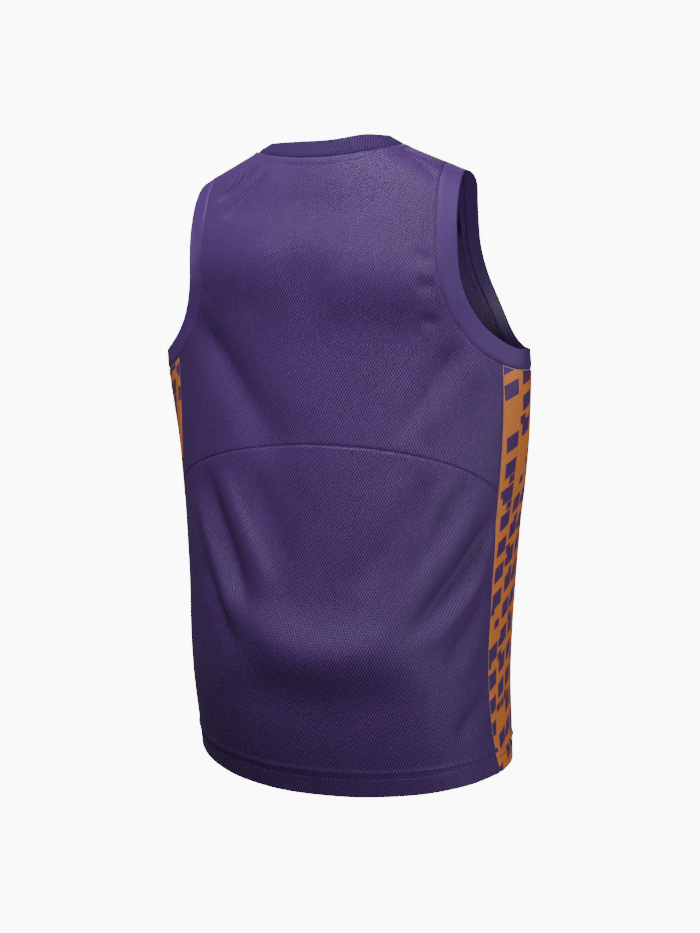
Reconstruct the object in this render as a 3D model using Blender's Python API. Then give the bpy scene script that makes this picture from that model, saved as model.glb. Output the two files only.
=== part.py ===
"""Sleeveless basketball warm-up shirt, men's large, filled out as if it were worn.

Frame: +Z up, the front faces -Y, and +X is the wearer's left. The origin is midway between the two
neck points of the shoulders, where the wearer carries the shirt. Blender's unit here is the metre,
and the tables are in millimetres and degrees.

The knit body is one tube of rings that climbs from the hem over the chest and the shoulders to the
neck seam. A place on it is an angle round the body, from the centre back towards the wearer's left,
and a length up the tube from the hem. Every panel is a patch of that tube between its seams, and
the bands grow out of the armhole and neck seams.
"""

from collections import namedtuple

import bpy
import numpy as np

# ---------------------------------------------------------------- driving sizes, in millimetres

KNIT = 1.2  # one layer of the panels' knit
BAND = 2.0  # a band is folded double
BAND_PROUD = 0.4  # its outer face stands this far above the panel beside it
ARMHOLE_BAND_WIDTH = 24.0
ARMHOLE_BAND_LEAN = 1.5  # how far the stretched band's free edge leans in
HEM_DEPTH = 27.0
HEM_THICKNESS = 2.2  # the edge is turned up once, to the inside
HEM_STEP = 1.5  # the length over which the turned edge ends
SEAM_GAP = 0.3  # between two pieces that are sewn together
METRES = 0.001  # one millimetre

# The body's rings. "up" is the length along the tube above the hem. A ring's height is given at the
# centre back, the side and the centre front, its half width and its depths are taken from its own
# middle, "square" fills its corners out from an ellipse or, below zero, points its sides, and
# "tilt" lifts its left side, in degrees.
Ring = namedtuple("Ring", "up back_z side_z front_z half_width back_depth front_depth middle_y square tilt")
RINGS = (
    Ring(0, -774, -751, -763, 203, 137, 162, -30, 0.02, 2.7),  # hem
    Ring(130, -632, -622, -627, 203, 154, 160, -25, 0.03, 1.8),  # hip
    Ring(200, -560, -550, -555, 208, 146, 156, -28, 0.03, 0.8),  # above the hip
    Ring(280, -478, -470, -475, 216, 133, 150, -32, 0.03, 0.0),  # waist
    Ring(400, -355, -350, -355, 235, 113, 138, -32, 0.0, -0.5),  # ribs
    Ring(500, -250, -250, -265, 245, 85, 132, -18, -0.03, -0.6),  # underarm
    Ring(570, -190, -182, -215, 243, 88, 112, -22, -0.01, -0.7),  # above the underarm
    Ring(640, -125, -115, -175, 239, 94, 92, -25, 0.0, -0.7),  # shoulder blades
    Ring(745, -68, -36, -120, 177, 65, 78, -12, 0.02, -0.8),  # shoulder tips
    Ring(772, -48, -24, -110, 150, 58, 76, -8, 0.02, -0.8),  # middle of the shoulders
    Ring(830, -12, 0, -100, 95, 45, 80, -2, 0.0, -0.8),  # neck seam
)
NECK_UP = RINGS[-1].up
# The neckband's free edge, a ring of its own just above the neck seam. It stands a little higher at
# the right of the nape.
NECKBAND_EDGE = Ring(NECK_UP, 7.5, 9.5, -78, 77, 41, 70, -2, 0.0, -1.7)
NAPE_RISE = 3.6
NAPE_RISE_ANGLE, NAPE_RISE_WIDTH = -47, 23  # degrees

# The side panels' two seams, as angles from the centre back, at lengths up the tube. The shirt hangs
# a little twisted, so the left panel lies further round to the back by "left_turn".
SideSeam = namedtuple("SideSeam", "up back_angle front_angle left_turn")
SIDE_SEAMS = (
    SideSeam(0, 86, 118, 0),
    SideSeam(35, 83, 118, 0),
    SideSeam(125, 79, 119, -1),
    SideSeam(235, 76.5, 119, -3),
    SideSeam(339, 72, 118, -6),
    SideSeam(420, 69.5, 117.5, -7),
    SideSeam(500, 68, 116, -6),
)

# An armhole's seam, once round from the shoulder down the back and up the front.
ArmholePoint = namedtuple("ArmholePoint", "angle up")
ARMHOLE = (
    ArmholePoint(90, 771),  # on the shoulder
    ArmholePoint(67, 758),
    ArmholePoint(53, 734),
    ArmholePoint(45, 700),
    ArmholePoint(41, 641),
    ArmholePoint(41.5, 598),
    ArmholePoint(46, 555),
    ArmholePoint(54, 518),
    ArmholePoint(68, 489),
    ArmholePoint(93, 481),  # under the arm
    ArmholePoint(116, 490),
    ArmholePoint(125.5, 511),
    ArmholePoint(133, 545),
    ArmholePoint(139.5, 588),
    ArmholePoint(143.5, 642),
    ArmholePoint(141, 702),
    ArmholePoint(130.5, 741),
    ArmholePoint(111.5, 761),
)

# The back's cross seam, an arch from side seam to side seam.
ARCH_TOP_UP = 403
ARCH_DROP = 64

# The largest folds: soft troughs, or ridges where the depth is below zero, along a curve from start
# to end that bends towards its middle point. Each point is an angle and a length up the tube.
# "width" is the half width across the curve, "depth" how far the cloth sinks at its middle.
Fold = namedtuple("Fold", "start middle end width depth")
FOLDS = (
    # The cloth of the lower back hangs in a swag between the sides, and turns in below it.
    Fold((38, 268), (-9, 76), (-50, 246), 37, -14),
    Fold((36, 140), (-10, 154), (-54, 138), 30, -4),
    Fold((30, 108), (-10, 116), (-50, 108), 36, 4),
    # Its left arm is a narrow trough between two ridges.
    Fold((42, 374), (27, 280), (14, 196), 14, 6),
    Fold((48, 345), (35, 268), (20, 184), 13, -4),
    Fold((34, 380), (20, 290), (8, 215), 15, -6),
    Fold((23, 388), (11, 320), (1, 240), 17, 3),
    Fold((42, 262), (30, 200), (20, 156), 14, 5),
    # Its right arm has a deep trough low down, and shallow ones on both sides of it.
    Fold((-31, 378), (-23, 322), (-13, 250), 14, -2),
    Fold((-40, 372), (-32, 312), (-18, 228), 16, 5),
    Fold((-48, 366), (-41, 328), (-34, 268), 11, -2),
    Fold((-54, 362), (-47, 322), (-39, 256), 11, 4),
    Fold((-62, 338), (-50, 276), (-27, 192), 14, -5),
    Fold((-74, 318), (-58, 254), (-31, 168), 15, 10),
    Fold((-74, 262), (-60, 214), (-42, 162), 13, -4),
    Fold((-74, 214), (-64, 176), (-51, 142), 12, 4),
    Fold((-80, 104), (-68, 80), (-56, 58), 15, 4),
    # Drag lines run from the neck's left end down the shoulder, and from the armholes.
    Fold((42, 806), (43, 765), (43, 728), 11, 4.5),
    Fold((31, 803), (29, 750), (34, 697), 11, 4),
    Fold((-67, 795), (-60, 770), (-56, 745), 10, 3.5),
    Fold((-33, 634), (-36, 628), (-40, 618), 9, 1.8),
    Fold((-33, 596), (-37, 592), (-41, 588), 9, 2),
    Fold((-35, 548), (-39, 547), (-42, 544), 9, 1.6),
    Fold((48, 572), (34, 464), (4, 388), 26, 9),
    Fold((-50, 522), (-41, 468), (-27, 402), 14, 5),
    Fold((-60, 502), (-50, 462), (-37, 402), 17, -4),
    # The shoulder blades.
    Fold((4, 622), (24, 622), (46, 612), 38, -5),
    Fold((0, 606), (-26, 598), (-50, 580), 44, -8),
    # The front hangs in the same way.
    Fold((158, 222), (182, 166), (206, 232), 24, -6),
    Fold((126, 338), (140, 262), (160, 192), 17, 6),
    Fold((124, 270), (136, 205), (155, 168), 15, 4),
    Fold((238, 350), (222, 272), (203, 196), 18, 7),
    Fold((240, 255), (226, 196), (210, 162), 15, 4.5),
    Fold((146, 372), (152, 318), (164, 262), 14, -3),
    Fold((212, 366), (208, 310), (197, 268), 14, -3),
    Fold((147, 781), (154, 750), (159, 704), 9, 3.5),
    Fold((220, 781), (215, 748), (210, 702), 9, 3.5),
    Fold((144, 585), (152, 572), (160, 548), 9, 3),
    Fold((214, 600), (207, 588), (201, 560), 9, 3),
)

# How finely the pieces are divided.
SHOULDER_PARTS = 4
BACK_NECK_PARTS = 22
FRONT_NECK_PARTS = 18
LOWER_PARTS = 18  # from the hem up to the level of the arch's ends
MIDDLE_PARTS = 6  # from there up to the armholes
BACK_ARMHOLE_PARTS = 15
FRONT_ARMHOLE_PARTS = 15
SIDE_PARTS = 6  # across a side panel
JUNCTION_SAMPLES = 2000  # along the armhole, to find where the side seams meet it
UNDERARM_BELOW = 530  # and only so far up is looked at
NECK_FORM_FADES = 3  # the rows between the armholes follow the neck opening only near it
SHARP_ANGLE = 50.0  # degrees, above which an edge is shaded sharp

# A band's rows from its seam to its free edge, whose folded cloth is rounded off.
BandRow = namedtuple("BandRow", "share_of_width share_of_thickness")
BAND_ROWS = (BandRow(0, 1), BandRow(0.5, 1), BandRow(0.93, 1), BandRow(1, 0.4))


def spline_through(stops, values, wanted):
    """Natural cubic spline through rows of values at rising stops, read at the wanted places."""
    steps = np.diff(stops)
    slopes = np.diff(values, axis=0) / steps[:, None]
    count = len(stops)
    system = np.eye(count)
    for i in range(1, count - 1):
        system[i, i - 1:i + 2] = steps[i - 1], 2 * (steps[i - 1] + steps[i]), steps[i]
    load = np.zeros_like(values)
    load[1:-1] = 6 * np.diff(slopes, axis=0)
    bends = np.linalg.solve(system, load)
    i = np.clip(np.searchsorted(stops, wanted) - 1, 0, count - 2)
    along = (wanted - stops[i])[..., None]
    step = steps[i][..., None]
    cubic = (bends[i + 1] - bends[i]) / (6 * step)
    linear = slopes[i] - step * (2 * bends[i] + bends[i + 1]) / 6
    return ((cubic * along + bends[i] / 2) * along + linear) * along + values[i]


def unit(vectors):
    return vectors / np.linalg.norm(vectors, axis=-1, keepdims=True)


# ---------------------------------------------------------------- the tube

RING_TABLE = np.array(RINGS, dtype=float)
MM_PER_DEGREE = 3.8  # round the tube's skin, at a radius near 220 mm
FOLD_SAMPLES = 25  # points along a fold's curve
PROBE = 0.5  # degrees and millimetres, to feel the skin's direction


def ring_points(angle, columns):
    """Points at angles on rings, whose columns are those of Ring after its first."""
    back_z, side_z, front_z, half_width, back_depth, front_depth, middle_y, square, tilt = columns
    turn = np.radians(angle)
    sine, cosine = np.sin(turn), np.cos(turn)
    behind = cosine >= 0
    depth = np.where(behind, back_depth, front_depth)
    centre_z = np.where(behind, back_z, front_z)
    x = half_width * (sine + square * np.sin(3 * turn)) / (1 - square)
    y = middle_y + depth * (cosine - square * np.cos(3 * turn)) / (1 - square)
    lift = half_width * np.tan(np.radians(tilt)) * sine * np.abs(sine)
    z = side_z * sine ** 2 + centre_z * cosine ** 2 + lift
    return np.stack([x, y, z], axis=-1)


def plain_skin(place):
    """The tube before it is folded. A place is an angle and a length up, last in the array."""
    columns = spline_through(RING_TABLE[:, 0], RING_TABLE[:, 1:], place[..., 1])
    return ring_points(place[..., 0], np.moveaxis(columns, -1, 0))


def outward(skin, place):
    """Unit vectors that point out of a skin."""
    round_it = np.array([PROBE, 0])
    up_it = np.array([0, PROBE])
    across = skin(place + round_it) - skin(place - round_it)
    upward = skin(place + up_it) - skin(place - up_it)
    return unit(np.cross(upward, across))


def sunk_by_folds(place):
    """How far the folds sink the skin. The nearest place on a curve is found between its samples."""
    depth = np.zeros(place.shape[:-1])
    share = np.linspace(0, 1, FOLD_SAMPLES)
    for fold in FOLDS:
        start, middle, end = (np.array(point, dtype=float) for point in fold[:3])
        curve = np.outer((1 - share) ** 2, start) + np.outer(2 * share * (1 - share), middle)
        curve = curve + np.outer(share ** 2, end)
        turn = (place[..., None, 0] - curve[:, 0] + 180) % 360 - 180
        squares = (turn * MM_PER_DEGREE) ** 2 + (place[..., None, 1] - curve[:, 1]) ** 2
        nearest = np.clip(squares.argmin(axis=-1), 1, FOLD_SAMPLES - 2)[..., None]
        before, at, after = (np.take_along_axis(squares, nearest + k, -1)[..., 0] for k in (-1, 0, 1))
        bend = before - 2 * at + after
        step = np.clip((before - after) / (2 * bend), -1, 1)
        square = at + (after - before) / 2 * step + bend / 2 * step ** 2
        along = (nearest[..., 0] + step) / (FOLD_SAMPLES - 1)
        fade = (1 - (2 * along - 1) ** 4) ** 2
        depth = depth + fold.depth * fade * np.exp(-square / fold.width ** 2)
    return depth


def skin(place):
    """The knit body's outer face, folded."""
    return plain_skin(place) - sunk_by_folds(place)[..., None] * outward(plain_skin, place)


# ---------------------------------------------------------------- seams, as places on the tube

SIDE_SEAM_TABLE = np.array(SIDE_SEAMS, dtype=float)
BACK_SEAM, FRONT_SEAM, LEFT_TURN = 1, 2, 3  # columns of SIDE_SEAM_TABLE
ARCH_END_UP = ARCH_TOP_UP - ARCH_DROP
LEFT, RIGHT = 1, -1  # signs of the angles on each side

LOOP_MARGIN = 4  # rows that are repeated at each end of the closed seam, to keep it smooth there
LOOP_ROWS = np.arange(-LOOP_MARGIN, len(ARMHOLE) + LOOP_MARGIN + 1)
ARMHOLE_LOOP = np.array(ARMHOLE, dtype=float)[LOOP_ROWS % len(ARMHOLE)]
LOOP_STEPS = np.hypot(*(np.diff(ARMHOLE_LOOP, axis=0) * [MM_PER_DEGREE, 1]).T)
LOOP_RUN = np.concatenate([[0], np.cumsum(LOOP_STEPS)]) - LOOP_STEPS[:LOOP_MARGIN].sum()
SHOULDER_POINT, ONCE_ROUND = 0, LOOP_RUN[LOOP_MARGIN + len(ARMHOLE)]  # lengths along the armhole


def side_seam(side, column, ups):
    """A back or front side seam at lengths up the tube."""
    ups = np.asarray(ups, dtype=float)
    row = spline_through(SIDE_SEAM_TABLE[:, 0], SIDE_SEAM_TABLE, ups)
    turn = row[:, LEFT_TURN] if side == LEFT else 0
    return np.column_stack([side * (row[:, column] + turn), ups])


def armhole_seam(side, first, last, parts):
    """An armhole's seam between two lengths along it, from the shoulder down the back."""
    run = np.linspace(first, last, parts + 1)
    return spline_through(LOOP_RUN, ARMHOLE_LOOP, run) * [side, 1]


def junction(side, column):
    """The length along the armhole at which a side seam meets it."""
    places = armhole_seam(side, SHOULDER_POINT, ONCE_ROUND, JUNCTION_SAMPLES)
    run = np.linspace(SHOULDER_POINT, ONCE_ROUND, JUNCTION_SAMPLES + 1)
    low = np.flatnonzero(places[:, 1] < UNDERARM_BELOW)
    apart = side * (places - side_seam(side, column, places[:, 1]))[low, 0]
    return np.interp(0, apart, run[low])


def straight_line(start, end, parts):
    return np.linspace(start, end, parts + 1)


def neck_opening(first_angle, last_angle, parts):
    """The top edge of a panel: up one shoulder, round the neck seam and down the other shoulder."""
    rise = straight_line((first_angle, ARMHOLE[0].up), (first_angle, NECK_UP), SHOULDER_PARTS)
    neck = straight_line((first_angle, NECK_UP), (last_angle, NECK_UP), parts)
    fall = straight_line((last_angle, NECK_UP), (last_angle, ARMHOLE[0].up), SHOULDER_PARTS)
    return np.concatenate([rise, neck[1:], fall[1:]])


def arch(parts):
    """The back's cross seam from the right side seam to the left."""
    ends = [side_seam(side, BACK_SEAM, [ARCH_END_UP])[0] for side in (RIGHT, LEFT)]
    places = straight_line(*ends, parts)
    places[:, 1] += ARCH_DROP * (1 - np.linspace(-1, 1, parts + 1) ** 2)
    return places


def patch(bottom, top, first_side, last_side, top_fades=1):
    """Places inside four edges: each side runs upwards, and bottom and top run between them.

    The form of the top edge dies out down the patch, the sooner the higher top_fades.
    """
    across = np.linspace(0, 1, len(bottom))[None, :, None]
    upward = np.linspace(0, 1, len(first_side))[:, None, None]
    like_top = upward ** top_fades
    between_sides = (1 - across) * first_side[:, None] + across * last_side[:, None]
    bottom_form = bottom - (1 - across) * bottom[0] - across * bottom[-1]
    top_form = top - (1 - across) * top[0] - across * top[-1]
    return between_sides + (1 - like_top) * bottom_form + like_top * top_form


def stack(*patches):
    """Patches above each other, each starting on the last row of the one below."""
    return np.concatenate([patches[0]] + [upper[1:] for upper in patches[1:]])


# ---------------------------------------------------------------- the panels' places

HEM_UPS = np.array([0, HEM_DEPTH, HEM_DEPTH + HEM_STEP])
LOWER_UPS = np.linspace(HEM_UPS[-1], ARCH_END_UP, LOWER_PARTS + 1)


def rise_to_armhole(side, column):
    """A side seam from the level of the arch's ends up to the armhole."""
    top = armhole_seam(side, junction(side, column), ONCE_ROUND, 1)[0]
    rise = side_seam(side, column, np.linspace(ARCH_END_UP, top[1], MIDDLE_PARTS + 1))
    rise[-1] = top
    return rise


def hem_strip(first_seam, last_seam, parts):
    """The turned hem between two seams, each given as places at HEM_UPS."""
    return np.stack([straight_line(a, b, parts) for a, b in zip(first_seam, last_seam)])


def level_patch(first_side, last_side, parts, top=None, top_fades=1):
    """A patch whose bottom is straight, and whose top is too unless it is given."""
    bottom = straight_line(first_side[0], last_side[0], parts)
    if top is None:
        top = straight_line(first_side[-1], last_side[-1], parts)
    return patch(bottom, top, first_side, last_side, top_fades)


def lower_back_places():
    parts = BACK_NECK_PARTS + 2 * SHOULDER_PARTS
    right_hem, left_hem = (side_seam(side, BACK_SEAM, HEM_UPS) for side in (RIGHT, LEFT))
    right_side, left_side = (side_seam(side, BACK_SEAM, LOWER_UPS) for side in (RIGHT, LEFT))
    return stack(
        hem_strip(right_hem, left_hem, parts),
        level_patch(right_side, left_side, parts, top=arch(parts)),
    )


def upper_back_places():
    parts = BACK_NECK_PARTS + 2 * SHOULDER_PARTS
    right_side, left_side = (rise_to_armhole(side, BACK_SEAM) for side in (RIGHT, LEFT))
    right_armhole, left_armhole = (
        armhole_seam(side, junction(side, BACK_SEAM), SHOULDER_POINT, BACK_ARMHOLE_PARTS)
        for side in (RIGHT, LEFT)
    )
    chest = straight_line(right_side[-1], left_side[-1], parts)
    neck = neck_opening(-90, 90, BACK_NECK_PARTS)
    return stack(
        patch(arch(parts), chest, right_side, left_side),
        level_patch(right_armhole, left_armhole, parts, neck, NECK_FORM_FADES),
    )


def front_places():
    parts = FRONT_NECK_PARTS + 2 * SHOULDER_PARTS
    one_turn_on = np.array([360, 0])
    left_hem, right_hem = (side_seam(side, FRONT_SEAM, HEM_UPS) for side in (LEFT, RIGHT))
    left_side, right_side = (side_seam(side, FRONT_SEAM, LOWER_UPS) for side in (LEFT, RIGHT))
    left_rise, right_rise = (rise_to_armhole(side, FRONT_SEAM) for side in (LEFT, RIGHT))
    left_armhole, right_armhole = (
        armhole_seam(side, junction(side, FRONT_SEAM), ONCE_ROUND, FRONT_ARMHOLE_PARTS)
        for side in (LEFT, RIGHT)
    )
    neck = neck_opening(90, 270, FRONT_NECK_PARTS)
    return stack(
        hem_strip(left_hem, right_hem + one_turn_on, parts),
        level_patch(left_side, right_side + one_turn_on, parts),
        level_patch(left_rise, right_rise + one_turn_on, parts),
        level_patch(left_armhole, right_armhole + one_turn_on, parts, neck, NECK_FORM_FADES),
    )


def side_panel_places(side):
    """A side panel, from its back seam to its front seam."""
    underarm = armhole_seam(side, junction(side, BACK_SEAM), junction(side, FRONT_SEAM), SIDE_PARTS)
    seams = BACK_SEAM, FRONT_SEAM
    return stack(
        hem_strip(*(side_seam(side, column, HEM_UPS) for column in seams), SIDE_PARTS),
        level_patch(*(side_seam(side, column, LOWER_UPS) for column in seams), SIDE_PARTS),
        level_patch(*(rise_to_armhole(side, column) for column in seams), SIDE_PARTS, top=underarm),
    )


def armhole_places(side):
    """An armhole's seam once round, without its last place, which is its first."""
    back, front = junction(side, BACK_SEAM), junction(side, FRONT_SEAM)
    return np.concatenate([
        armhole_seam(side, SHOULDER_POINT, back, BACK_ARMHOLE_PARTS)[:-1],
        armhole_seam(side, back, front, SIDE_PARTS)[:-1],
        armhole_seam(side, front, ONCE_ROUND, FRONT_ARMHOLE_PARTS)[:-1],
    ])


# ---------------------------------------------------------------- solids


def drawn_in(points, edges):
    """Moves a grid's sewn edges inwards by half the seam gap."""
    moved = points.copy()
    for edge, beside in edges:
        along = unit(np.gradient(points[edge], axis=0))
        inward = points[beside] - points[edge]
        inward -= along * np.sum(inward * along, axis=-1, keepdims=True)
        moved[edge] += unit(inward) * SEAM_GAP / 2
    return moved


BOTTOM_EDGE = (np.s_[0, :], np.s_[1, :])
TOP_EDGE = (np.s_[-1, :], np.s_[-2, :])
FIRST_EDGE = (np.s_[:, 0], np.s_[:, 1])
LAST_EDGE = (np.s_[:, -1], np.s_[:, -2])


def wall_object(name, outer, inner, closed, material, rising=None):
    """A closed wall between two grids of points. A closed grid's last column meets its first.

    "rising" says which quads are split from their first column's lower corner to the next column's
    upper corner. The others are split the other way.
    """
    rows, columns = outer.shape[:2]
    vertices = np.concatenate([outer.reshape(-1, 3), inner.reshape(-1, 3)]) * METRES
    layer = rows * columns
    spans = columns if closed else columns - 1
    faces = []
    for row in range(rows - 1):
        for column in range(spans):
            after = (column + 1) % columns
            a, b = row * columns + column, row * columns + after
            c, d = a + columns, b + columns
            if rising is None or rising[row, column]:
                halves = (a, c, d), (a, d, b)
            else:
                halves = (a, c, b), (b, c, d)
            for first, second, third in halves:
                faces.append((first, second, third))
                faces.append((first + layer, third + layer, second + layer))
    for column in range(spans):
        after = (column + 1) % columns
        faces.append((column, after, after + layer, column + layer))
        a, b = layer - columns + column, layer - columns + after
        faces.append((a, a + layer, b + layer, b))
    if not closed:
        for row in range(rows - 1):
            a, b = row * columns, (row + 1) * columns
            faces.append((a, a + layer, b + layer, b))
            a, b = a + columns - 1, b + columns - 1
            faces.append((a, b, b + layer, a + layer))
    mesh = bpy.data.meshes.new(name)
    mesh.from_pydata(vertices.tolist(), [], faces)
    mesh.materials.append(material)
    mesh.shade_smooth()
    mesh.set_sharp_from_angle(angle=np.radians(SHARP_ANGLE))
    piece = bpy.data.objects.new(name, mesh)
    bpy.context.scene.collection.objects.link(piece)
    return piece


def quads_to_split_rising(places, points):
    """Each quad is split along the diagonal that runs nearer to the skin, so folds stay smooth."""
    corners = places[:-1, :-1], places[1:, 1:], places[:-1, 1:], places[1:, :-1]
    true_middle = skin(sum(corners) / 4)
    rising_middle = (points[:-1, :-1] + points[1:, 1:]) / 2
    falling_middle = (points[:-1, 1:] + points[1:, :-1]) / 2
    rising_error = np.linalg.norm(rising_middle - true_middle, axis=-1)
    return rising_error <= np.linalg.norm(falling_middle - true_middle, axis=-1)


def panel(name, places, sewn_edges, material):
    """One cut panel of the knit body, thicker where its hem is turned up."""
    outer = skin(places)
    normals = outward(skin, places)
    thickness = np.where(places[..., 1:] <= HEM_DEPTH, HEM_THICKNESS, KNIT)
    rising = quads_to_split_rising(places, outer)
    outer = drawn_in(outer, sewn_edges)
    return wall_object(name, outer, outer - normals * thickness, False, material, rising)


def band(name, seam, edge, seam_normals, normals, material):
    """A ribbed band, folded double, from a closed seam to a closed free edge."""
    start = seam + unit(edge - seam) * SEAM_GAP / 2
    outer_rows, inner_rows = [], []
    for row in BAND_ROWS:
        facing = seam_normals if row.share_of_width == 0 else normals
        middle = start + (edge - start) * row.share_of_width + facing * (BAND_PROUD - BAND / 2)
        half = facing * row.share_of_thickness * BAND / 2
        outer_rows.append(middle + half)
        inner_rows.append(middle - half)
    return wall_object(name, np.stack(outer_rows), np.stack(inner_rows), True, material)


def armhole_band(name, seam_places, material):
    """The band goes on in the tube's own direction, into the armhole, and leans in at its edge.

    It is stretched, so its free edge runs smoothly past the folds that end at its seam.
    """
    smooth_seam = plain_skin(seam_places)
    normals = outward(plain_skin, seam_places)
    along = np.roll(smooth_seam, -1, axis=0) - np.roll(smooth_seam, 1, axis=0)
    into_the_hole = unit(np.cross(along, normals))
    edge = smooth_seam + into_the_hole * ARMHOLE_BAND_WIDTH - normals * ARMHOLE_BAND_LEAN
    return band(name, skin(seam_places), edge, outward(skin, seam_places), normals, material)


def neckband_edge(angle):
    edge = ring_points(angle, NECKBAND_EDGE[1:])
    edge[:, 2] += NAPE_RISE * np.exp(-((angle - NAPE_RISE_ANGLE) / NAPE_RISE_WIDTH) ** 2)
    return edge


def neckband(name, material):
    """The neckband stands up from the neck seam."""
    back = straight_line((-90, NECK_UP), (90, NECK_UP), BACK_NECK_PARTS)
    front = straight_line((90, NECK_UP), (270, NECK_UP), FRONT_NECK_PARTS)
    places = np.concatenate([back[:-1], front[:-1]])
    seam = skin(places)
    edge = neckband_edge(places[:, 0])
    along = np.roll(seam, -1, axis=0) - np.roll(seam, 1, axis=0)
    normals = unit(np.cross(edge - seam, along))
    return band(name, seam, edge, outward(skin, places), normals, material)


# ---------------------------------------------------------------- materials


def knit_material(name, colour, roughness):
    """Polyester knit: colour is linear red, green and blue."""
    material = bpy.data.materials.new(name)
    material.use_nodes = True
    shader = material.node_tree.nodes["Principled BSDF"]
    shader.inputs["Base Color"].default_value = (*colour, 1.0)
    shader.inputs["Roughness"].default_value = roughness
    shader.inputs["Metallic"].default_value = 0.0
    return material


def main():
    for old in list(bpy.data.objects):
        bpy.data.objects.remove(old, do_unlink=True)

    purple_mesh = knit_material("purple_mesh_knit", (0.075, 0.040, 0.175), 0.55)
    purple_rib = knit_material("purple_band_knit", (0.095, 0.053, 0.210), 0.60)
    orange_print = knit_material("orange_printed_knit", (0.520, 0.170, 0.035), 0.55)

    sides_and_top = (FIRST_EDGE, LAST_EDGE, TOP_EDGE)
    panel("back_lower", lower_back_places(), sides_and_top, purple_mesh)
    panel("back_upper", upper_back_places(), sides_and_top + (BOTTOM_EDGE,), purple_mesh)
    panel("front", front_places(), sides_and_top, purple_mesh)
    panel("side_panel_left", side_panel_places(LEFT), sides_and_top, orange_print)
    panel("side_panel_right", side_panel_places(RIGHT)[:, ::-1], sides_and_top, orange_print)

    armhole_band("armhole_band_left", armhole_places(LEFT), purple_rib)
    armhole_band("armhole_band_right", armhole_places(RIGHT)[::-1], purple_rib)
    neckband("neckband", purple_rib)


if __name__ == "__main__":
    main()
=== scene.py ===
"""Sleeveless basketball warm-up shirt, purple mesh knit with printed orange side panels.

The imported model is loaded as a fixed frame: +Z up, the front faces -Y, +X is the wearer's left.
Tables are in millimetres and degrees, and meshes in metres.
"""

from collections import namedtuple

import bpy
import numpy as np
from mathutils import Matrix, Vector


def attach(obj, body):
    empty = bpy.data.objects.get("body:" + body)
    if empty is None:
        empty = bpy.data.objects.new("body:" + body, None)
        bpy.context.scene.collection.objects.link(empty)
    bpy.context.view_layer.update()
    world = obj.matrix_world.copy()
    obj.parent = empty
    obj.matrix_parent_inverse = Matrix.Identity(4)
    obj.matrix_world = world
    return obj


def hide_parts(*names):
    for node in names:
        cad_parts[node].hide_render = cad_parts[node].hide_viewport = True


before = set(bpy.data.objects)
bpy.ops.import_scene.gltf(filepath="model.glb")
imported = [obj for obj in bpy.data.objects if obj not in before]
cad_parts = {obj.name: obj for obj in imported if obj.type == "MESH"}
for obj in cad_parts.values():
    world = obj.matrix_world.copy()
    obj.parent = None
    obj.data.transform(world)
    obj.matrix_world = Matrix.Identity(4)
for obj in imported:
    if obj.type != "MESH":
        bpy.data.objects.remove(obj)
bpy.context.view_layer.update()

# ======== the back
# Two panels of one-layer polyester mesh knit, joined by an arched cross seam below the shoulder
# blades. They are cut from the roll, overlocked together, and hang in a soft swag above the hem,
# which is turned up once and held by two rows of stitches.

MM = 0.001
KNIT_THICKNESS = 1.0
HEM_DEPTH = 27.0
HEM_THICKNESS = 2.0
HEM_STITCH_UPS = (20.5, 27.5)

# The body's rings, from the hem over the shoulders to the neck seam. "up" is the length along the
# knit above the hem, "square" fills a ring's corners out, and "tilt" lifts its left side.
Ring = namedtuple("Ring", "up back_z side_z front_z half_width back_depth front_depth middle_y square tilt")
BODY_RINGS = (
    Ring(0, -774, -751, -763, 203, 137, 162, -30, 0.02, 2.7),  # hem
    Ring(130, -632, -622, -627, 203, 154, 160, -25, 0.03, 1.8),  # hip
    Ring(200, -560, -550, -555, 208, 146, 156, -28, 0.03, 0.8),  # above the hip
    Ring(280, -478, -470, -475, 216, 133, 150, -32, 0.03, 0.0),  # waist
    Ring(400, -355, -350, -355, 235, 113, 138, -32, 0.0, -0.5),  # ribs
    Ring(500, -250, -250, -265, 245, 85, 132, -18, -0.03, -0.6),  # underarm
    Ring(570, -190, -182, -215, 243, 88, 112, -22, -0.01, -0.7),  # above the underarm
    Ring(640, -125, -115, -175, 239, 94, 92, -25, 0.0, -0.7),  # shoulder blades
    Ring(745, -68, -36, -120, 177, 65, 78, -12, 0.02, -0.8),  # shoulder tips
    Ring(772, -48, -24, -110, 150, 58, 76, -8, 0.02, -0.8),  # middle of the shoulders
    Ring(830, -12, 0, -100, 95, 45, 80, -2, 0.0, -0.8),  # neck seam
)
NECK_UP = BODY_RINGS[-1].up

# A side seam's angles, from the centre back. The shirt hangs a little twisted, so the left panel lies
# further round to the back by "left_turn".
SideSeam = namedtuple("SideSeam", "up back_angle front_angle left_turn")
SIDE_SEAMS = (
    SideSeam(0, 86, 118, 0),
    SideSeam(35, 83, 118, 0),
    SideSeam(125, 79, 119, -1),
    SideSeam(235, 76.5, 119, -3),
    SideSeam(339, 72, 118, -6),
    SideSeam(420, 69.5, 117.5, -7),
    SideSeam(500, 68, 116, -6),
)

# An armhole's seam, from the shoulder's top down the back, under the arm and up the front.
ArmholePoint = namedtuple("ArmholePoint", "angle up")
ARMHOLE = tuple(ArmholePoint(*point) for point in (
    (90, 771), (67, 758), (53, 734), (45, 700), (41, 641), (41.5, 598), (46, 555), (54, 518),
    (68, 489), (93, 481), (116, 490),  # under the arm
    (125.5, 511), (133, 545), (139.5, 588), (143.5, 642), (141, 702), (130.5, 741), (111.5, 761),
))
ARCH_TOP_UP, ARCH_DROP = 403, 64
ARCH_END_UP = ARCH_TOP_UP - ARCH_DROP

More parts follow.
